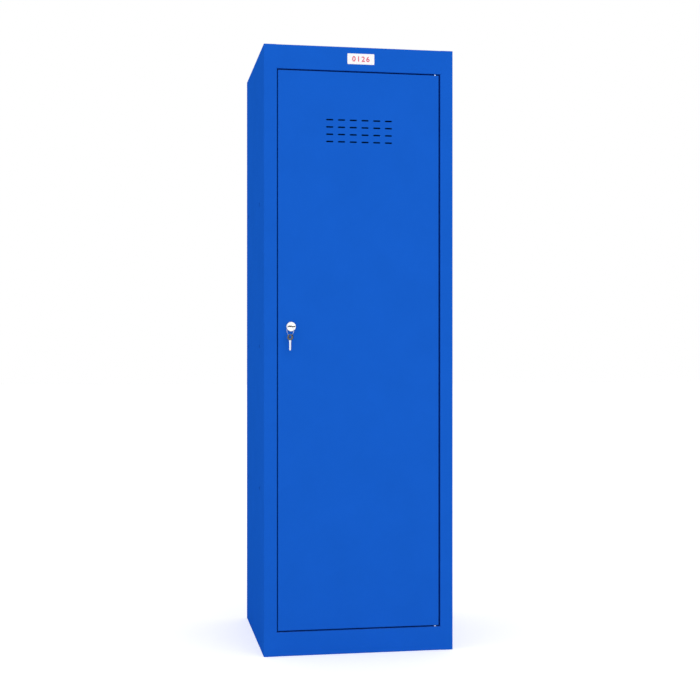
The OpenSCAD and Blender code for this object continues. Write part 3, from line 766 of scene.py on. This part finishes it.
def weld_row_tree():
    """A straight row of spot-weld marks, each a low rim around a shallow cap."""
    tree, given, join = geometry_tree("weld row", [
        ("Start", "NodeSocketVector", (0, 0, 0)),
        ("End", "NodeSocketVector", (0, 0, 1)),
        ("Count", "NodeSocketInt", 4),
        ("Turn", "NodeSocketVector", (0, 0, 0)),
        ("Radius", "NodeSocketFloat", 2.4 * MM),
        ("Rise", "NodeSocketFloat", 0.1 * MM),
        ("Material", "NodeSocketMaterial", None),
    ])
    row = add(tree, "GeometryNodeMeshLine", {
        "Count": given["Count"], "Start Location": given["Start"], "Offset": given["End"],
    }, mode="END_POINTS").outputs[0]
    rim = circle(tree, 20, given["Radius"])
    ring = tube(tree, rim, circle(tree, 8, given["Rise"]))
    ball = add(tree, "GeometryNodeMeshUVSphere", {
        "Segments": 20, "Rings": 6, "Radius": given["Radius"],
    }).outputs[0]
    cap_width, cap_height = 0.8, 0.018
    flat = add(tree, "ShaderNodeCombineXYZ", {0: cap_width, 1: cap_width, 2: cap_height}).outputs[0]
    cap = add(tree, "GeometryNodeTransform", {"Geometry": ball, "Scale": flat}).outputs[0]
    mark = add(tree, "GeometryNodeJoinGeometry")
    tree.links.new(cap, mark.inputs[0])
    tree.links.new(ring, mark.inputs[0])
    smooth = add(tree, "GeometryNodeSetShadeSmooth", {"Geometry": mark.outputs[0]}).outputs[0]
    turn = add(tree, "FunctionNodeEulerToRotation", {0: given["Turn"]}).outputs[0]
    marks = add(tree, "GeometryNodeInstanceOnPoints", {
        "Points": row, "Instance": smooth, "Rotation": turn,
    }).outputs[0]
    end_tree(tree, marks, given["Material"], join)
    return tree


def thread_tree():
    """Screw thread that runs from its start along Y, cut off level with the barrel's two flats."""
    tree, given, join = geometry_tree("barrel thread", [
        ("Start", "NodeSocketVector", (0, 0, 0)),
        ("Length", "NodeSocketFloat", 10 * MM),
        ("Radius", "NodeSocketFloat", 8 * MM),
        ("Pitch", "NodeSocketFloat", 1.5 * MM),
        ("Depth", "NodeSocketFloat", 0.3 * MM),
        ("Flat", "NodeSocketFloat", 7 * MM),
        ("Material", "NodeSocketMaterial", None),
    ])
    turns = maths(tree, "DIVIDE", given["Length"], given["Pitch"])
    helix = add(tree, "GeometryNodeCurveSpiral", {
        "Resolution": 48, "Rotations": turns, "Start Radius": given["Radius"],
        "End Radius": given["Radius"], "Height": given["Length"],
    }).outputs[0]
    thread = tube(tree, helix, circle(tree, 4, given["Depth"]), closed_ends=True)
    turned = add(tree, "GeometryNodeTransform", {
        "Geometry": thread, "Rotation": (-QUARTER_TURN, 0, 0),
    }).outputs[0]
    point = add(tree, "GeometryNodeInputPosition").outputs[0]
    parts = add(tree, "ShaderNodeSeparateXYZ", {0: point}).outputs
    low = product(tree, given["Flat"], -1.0)
    height = maths(tree, "MAXIMUM", maths(tree, "MINIMUM", parts[2], given["Flat"]), low)
    cut = add(tree, "ShaderNodeCombineXYZ", {0: parts[0], 1: parts[1], 2: height}).outputs[0]
    levelled = add(tree, "GeometryNodeSetPosition", {"Geometry": turned, "Position": cut}).outputs[0]
    placed = add(tree, "GeometryNodeTransform", {
        "Geometry": levelled, "Translation": given["Start"],
    }).outputs[0]
    end_tree(tree, placed, given["Material"], join)
    return tree


def bead_tree():
    """A round bead of wire in a circle around an axis along Y."""
    tree, given, join = geometry_tree("turned bead", [
        ("Centre", "NodeSocketVector", (0, 0, 0)),
        ("Radius", "NodeSocketFloat", 8 * MM),
        ("Thickness", "NodeSocketFloat", 0.5 * MM),
        ("Material", "NodeSocketMaterial", None),
    ])
    half = product(tree, given["Thickness"], 0.5)
    ring = tube(tree, circle(tree, 64, given["Radius"]), circle(tree, 12, half))
    placed = add(tree, "GeometryNodeTransform", {
        "Geometry": ring, "Rotation": (QUARTER_TURN, 0, 0), "Translation": given["Centre"],
    }).outputs[0]
    smooth = add(tree, "GeometryNodeSetShadeSmooth", {"Geometry": placed}).outputs[0]
    end_tree(tree, smooth, given["Material"], join)
    return tree


def split_ring_tree():
    """Split ring lying flat around the origin: a close helix of round wire."""
    tree, given, join = geometry_tree("split ring", [
        ("Radius", "NodeSocketFloat", 10 * MM),
        ("Wire", "NodeSocketFloat", 0.7 * MM),
        ("Turns", "NodeSocketFloat", 1.9),
        ("Material", "NodeSocketMaterial", None),
    ])
    pitch_in_wires = 1.02
    pitch = product(tree, given["Wire"], pitch_in_wires)
    half = product(tree, given["Wire"], 0.5)
    helix = add(tree, "GeometryNodeCurveSpiral", {
        "Resolution": 72, "Rotations": given["Turns"], "Start Radius": given["Radius"],
        "End Radius": given["Radius"], "Height": pitch,
    }).outputs[0]
    ring = tube(tree, helix, circle(tree, 14, half), closed_ends=True)
    drop = product(tree, pitch, -0.5)
    middle = add(tree, "ShaderNodeCombineXYZ", {0: 0.0, 1: 0.0, 2: drop}).outputs[0]
    centred = add(tree, "GeometryNodeTransform", {"Geometry": ring, "Translation": middle}).outputs[0]
    smooth = add(tree, "GeometryNodeSetShadeSmooth", {"Geometry": centred}).outputs[0]
    end_tree(tree, smooth, given["Material"], join)
    return tree


# Operators, one for each group of pieces


class LOCKER_OT_stage(bpy.types.Operator):
    """Makes the camera, the floor, the lamps and the white surroundings"""

    bl_idname = "locker.stage"
    bl_label = "Stage"

    def execute(self, context):
        stage = context.scene.locker_stage
        self.make_camera(context, stage)
        self.make_floor(context, stage)
        self.make_world(context, stage)
        for name, lamp in LAMPS.items():
            self.make_lamp(context, name, **lamp)
        context.scene.view_settings.view_transform = "Standard"
        return {"FINISHED"}

    def make_camera(self, context, stage):
        data = bpy.data.cameras.new("camera")
        data.lens = stage.lens
        data.sensor_width = 36.0
        data.shift_x = stage.shift
        data.clip_start = 0.01
        camera = bpy.data.objects.new("camera", data)
        camera.location = stage.camera_place
        camera.rotation_euler = (QUARTER_TURN, 0, -stage.camera_heading)
        context.scene.collection.objects.link(camera)
        context.scene.camera = camera

    def make_floor(self, context, stage):
        half = stage.floor_size / 2
        below_base = 0.05 * MM
        copy = bmesh.new()
        corners = [(-half, -half), (half, -half), (half, half), (-half, half)]
        copy.faces.new([copy.verts.new((x, y, -below_base)) for x, y in corners])
        mesh = bpy.data.meshes.new("floor")
        copy.to_mesh(mesh)
        copy.free()
        floor = bpy.data.objects.new("floor", mesh)
        context.scene.collection.objects.link(floor)
        made, tree, shader, place = blank_material("pale floor")
        speckle_scale, darkest, palest = 30.0, 0.87, 0.9
        speckle = noise(tree, place, speckle_scale, detail=3.0)
        base = mix_colour(tree, speckle, [darkest] * 3 + [1], [palest] * 3 + [1])
        tree.links.new(base, shader.inputs["Base Color"])
        shader.inputs["Roughness"].default_value = 0.9
        shader.inputs["Specular IOR Level"].default_value = 0.1
        shader.inputs["Emission Color"].default_value = (1, 1, 1, 1)
        glow = product(tree, seen_rays(tree), stage.floor_glow)
        tree.links.new(glow, shader.inputs["Emission Strength"])
        mesh.materials.append(made)

    def make_world(self, context, stage):
        world = bpy.data.worlds.new("surroundings")
        context.scene.world = world
        world.use_nodes = True
        tree = world.node_tree
        light = stage.world_light
        strength = maths(tree, "ADD", light, product(tree, seen_rays(tree), 1 - light))
        background = tree.nodes["Background"]
        background.inputs["Color"].default_value = (1, 1, 1, 1)
        tree.links.new(strength, background.inputs["Strength"])

    def make_lamp(self, context, name, place, size, power):
        data = bpy.data.lights.new(name, "AREA")
        data.shape = "SQUARE"
        data.size = size
        data.energy = power
        lamp = bpy.data.objects.new(name, data)
        lamp.location = place
        direction = Vector(LAMP_TARGET) - Vector(place)
        lamp.rotation_euler = direction.to_track_quat("-Z", "Y").to_euler()
        context.scene.collection.objects.link(lamp)


class LOCKER_OT_finish_nodes(bpy.types.Operator):
    """Gives every part of the frame that stays in view its finish"""

    bl_idname = "locker.finish_nodes"
    bl_label = "Finish the frame's parts"

    def execute(self, context):
        for finish, names in FINISHES.items():
            for name in names:
                put_material(NODES[name], finish)
        return {"FINISHED"}


class LOCKER_OT_number_plate(bpy.types.Operator):
    """Builds the number plate with a rounded edge and raised digits"""

    bl_idname = "locker.number_plate"
    bl_label = "Number plate"

    def execute(self, context):
        plate = context.scene.locker_plate
        copy = merged_copy("number_plate")
        soften_edges(copy, plate.edge)
        mesh = mesh_from(copy, "plate_blank")
        piece = new_piece("plate_blank", mesh, "cabinet", "white_plate", "white plate")
        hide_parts("number_plate")
        self.make_digits(context, plate)
        return {"FINISHED"}

    def make_digits(self, context, plate):
        low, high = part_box("number_plate")
        curve = bpy.data.curves.new("digits", "FONT")
        curve.body = plate.number
        curve.align_x = "CENTER"
        curve.align_y = "CENTER"
        curve.space_character = plate.digit_spacing
        curve.offset = plate.digit_weight
        half_depth = 0.5
        curve.extrude = half_depth
        holder = bpy.data.objects.new("digits", curve)
        context.scene.collection.objects.link(holder)
        context.view_layer.update()
        evaluated = holder.evaluated_get(context.evaluated_depsgraph_get())
        mesh = bpy.data.meshes.new_from_object(evaluated)
        bpy.data.objects.remove(holder)
        heights = [v.co.y for v in mesh.vertices]
        widths = [v.co.x for v in mesh.vertices]
        scale = plate.digit_height / (max(heights) - min(heights))
        centre = Vector(((max(widths) + min(widths)) / 2, (max(heights) + min(heights)) / 2, 0))
        mesh.transform(Matrix.Translation(-centre))
        mesh.transform(Matrix.Diagonal((scale, scale, plate.digit_rise / half_depth, 1)))
        mesh.transform(Matrix.Rotation(QUARTER_TURN, 4, "X"))
        mesh.transform(Matrix.Translation(((low.x + high.x) / 2, low.y, (low.z + high.z) / 2)))
        new_piece("plate_digits", mesh, "cabinet", "white_plate", "plate ink")


class LOCKER_OT_lock_details(bpy.types.Operator):
    """Turns two beads on the lock's face and cuts the barrel's thread"""

    bl_idname = "locker.lock_details"
    bl_label = "Lock details"

    def execute(self, context):
        lock = context.scene.locker_lock
        chrome = finish_material("lock chrome")
        centre = (LOCK_MIDDLE.x, LOCK_LOW.y, LOCK_MIDDLE.z)
        face_radius = (LOCK_HIGH.x - LOCK_LOW.x) / 2
        plug_low, plug_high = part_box("lock_plug")
        plug_radius = (plug_high.x - plug_low.x) / 2
        rows = []
        for radius in (face_radius - 2 * lock.bead, plug_radius + 2 * lock.bead):
            rows.append({
                "Centre": centre, "Radius": radius, "Thickness": lock.bead, "Material": chrome,
            })
        new_piece("lock_face_beads", grown_mesh("lock_face_beads", bead_tree(), rows), "door", "chrome")
        self.make_thread(lock, chrome)
        return {"FINISHED"}

    def make_thread(self, lock, chrome):
        nut_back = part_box("lock_nut")[1].y
        barrel = [v.co for v in NODES["lock_body"].data.vertices if v.co.y > nut_back]
        radius = max(co.x for co in barrel) - LOCK_MIDDLE.x
        flat = max(co.z for co in barrel) - LOCK_MIDDLE.z
        start = (LOCK_MIDDLE.x, nut_back + lock.thread_pitch / 2, LOCK_MIDDLE.z)
        length = LOCK_HIGH.y - nut_back - lock.thread_pitch
        under_flat = 0.02 * MM
        thread = grown_mesh("barrel_thread", thread_tree(), [{
            "Start": start, "Length": length, "Radius": radius, "Pitch": lock.thread_pitch,
            "Depth": lock.thread_depth, "Flat": flat - under_flat, "Material": chrome,
        }])
        new_piece("barrel_thread", thread, "door", "chrome")


class LOCKER_OT_keys(bpy.types.Operator):
    """Builds the two keys with rounded edges, bows painted dark as shade and bright blades, and the
    split ring
    """

    bl_idname = "locker.keys"
    bl_label = "Keys and ring"

    def execute(self, context):
        keys = context.scene.locker_keys
        tip = Vector((LOCK_MIDDLE.x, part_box("key")[1].y, LOCK_MIDDLE.z))
        self.make_key("key", keys, tip, Vector((0, -1, 0)))
        low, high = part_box("spare_key")
        middle = (low + high) / 2
        self.make_key("spare_key", keys, Vector((middle.x, middle.y, low.z)), Vector((0, 0, 1)))
        self.make_ring(keys)
        return {"FINISHED"}

    def make_key(self, node, keys, tip, along):
        """Rounds a key's edges and splits its finish one blade's length from the tip, where the bow's
        painted shade starts.
        """
        copy = merged_copy(node, tip + keys.blade_length * along, along)
        soften_edges(copy, keys.edge)
        mesh = mesh_from(copy, node + "_finished")
        piece = new_piece(node + "_finished", mesh, node, "nickel", "bright nickel", "shaded nickel")
        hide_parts(node)

    def make_ring(self, keys):
        points = [v.co for v in NODES["key_ring"].data.vertices]
        low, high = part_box("key_ring")
        centre = (low + high) / 2
        radius = (high.z - low.z) / 2 - keys.ring_wire
        mesh = grown_mesh("split_ring", split_ring_tree(), [{
            "Radius": radius, "Wire": keys.ring_wire, "Turns": keys.ring_turns,
            "Material": finish_material("ring steel"),
        }])
        side = max(points, key=lambda co: co.x - centre.x)
        heading = math.atan2(side.y - centre.y, side.x - centre.x)
        mesh.transform(Matrix.Rotation(QUARTER_TURN, 4, "X"))
        mesh.transform(Matrix.Rotation(heading, 4, "Z"))
        mesh.transform(Matrix.Translation(centre))
        piece = new_piece("split_ring", mesh, "key_ring", "zinc_steel")
        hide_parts("key_ring")


class LOCKER_OT_weld_marks(bpy.types.Operator):
    """Sets rows of spot-weld marks on the cabinet's back and on the door's stiffening channel"""

    bl_idname = "locker.weld_marks"
    bl_label = "Weld marks"

    def execute(self, context):
        welds = context.scene.locker_welds
        if not welds.show:
            return {"FINISHED"}
        tree = weld_row_tree()
        rows = self.cabinet_rows(welds)
        new_piece("cabinet_welds", grown_mesh("cabinet_welds", tree, rows), "cabinet", "blue_paint")
        rows = self.door_rows(welds)
        new_piece("door_welds", grown_mesh("door_welds", tree, rows), "door", "blue_paint")
        return {"FINISHED"}

    def row(self, welds, start, end, finish):
        """A row of marks on a sheet that looks along Y."""
        length = (Vector(end) - Vector(start)).length
        return {
            "Start": start, "End": end, "Count": max(2, round(length / welds.pitch) + 1),
            "Turn": (QUARTER_TURN, 0, 0), "Radius": welds.radius, "Rise": welds.rise,
            "Material": finish_material(finish),
        }

    def cabinet_rows(self, welds):
        """Upright rows along the back's two edges, then level rows at its foot and its top."""
        back = CABINET_HIGH.y
        side_inset, end_inset = 10 * MM, 30 * MM
        rows = []
        for x in (CABINET_LOW.x + side_inset, CABINET_HIGH.x - side_inset):
            start = (x, back, CABINET_LOW.z + end_inset)
            end = (x, back, CABINET_HIGH.z - end_inset)
            rows.append(self.row(welds, start, end, "cabinet coat"))
        deck_low, deck_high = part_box("top_panel")
        side_inset, end_inset = 8 * MM, 40 * MM
        for z in (CABINET_LOW.z + side_inset, deck_high.z - side_inset):
            start = (deck_low.x + end_inset, back, z)
            end = (deck_high.x - end_inset, back, z)
            rows.append(self.row(welds, start, end, "cabinet coat"))
        return rows

    def door_rows(self, welds):
        """Upright rows on the two flanges of the door's stiffening channel."""
        low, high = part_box("door_stiffener")
        side_inset, end_inset = 6 * MM, 18 * MM
        sheet = 1.0 * MM
        rows = []
        for x in (low.x + side_inset, high.x - side_inset):
            start = (x, low.y + sheet, low.z + end_inset)
            end = (x, low.y + sheet, high.z - end_inset)
            rows.append(self.row(welds, start, end, "door coat"))
        return rows


class LOCKER_PT_panel(bpy.types.Panel):
    """Lists the locker's settings and the steps that build it"""

    bl_label = "Locker"
    bl_idname = "LOCKER_PT_panel"
    bl_space_type = "VIEW_3D"
    bl_region_type = "UI"
    bl_category = "Locker"

    def draw(self, context):
        layout = self.layout
        for step in STEPS:
            layout.operator(step.bl_idname)
        for name, group in SETTINGS.items():
            box = layout.box()
            box.label(text=group.__doc__)
            for prop in group.__annotations__:
                box.prop(getattr(context.scene, name), prop)


STEPS = [
    LOCKER_OT_stage,
    LOCKER_OT_finish_nodes,
    LOCKER_OT_number_plate,
    LOCKER_OT_lock_details,
    LOCKER_OT_keys,
    LOCKER_OT_weld_marks,
]


def register():
    """Registers the settings, the steps and the panel."""
    for group in SETTINGS.values():
        bpy.utils.register_class(group)
    for name, group in SETTINGS.items():
        setattr(bpy.types.Scene, name, PointerProperty(type=group))
    for step in STEPS:
        bpy.utils.register_class(step)
    bpy.utils.register_class(LOCKER_PT_panel)


def unregister():
    """Takes back what register did, in reverse."""
    bpy.utils.unregister_class(LOCKER_PT_panel)
    for step in reversed(STEPS):
        bpy.utils.unregister_class(step)
    for name in SETTINGS:
        delattr(bpy.types.Scene, name)
    for group in reversed(SETTINGS.values()):
        bpy.utils.unregister_class(group)


def main():
    """Builds everything in order."""
    register()
    for step in STEPS:
        area, name = step.bl_idname.split(".")
        getattr(getattr(bpy.ops, area), name)()


if __name__ == "__main__":
    main()
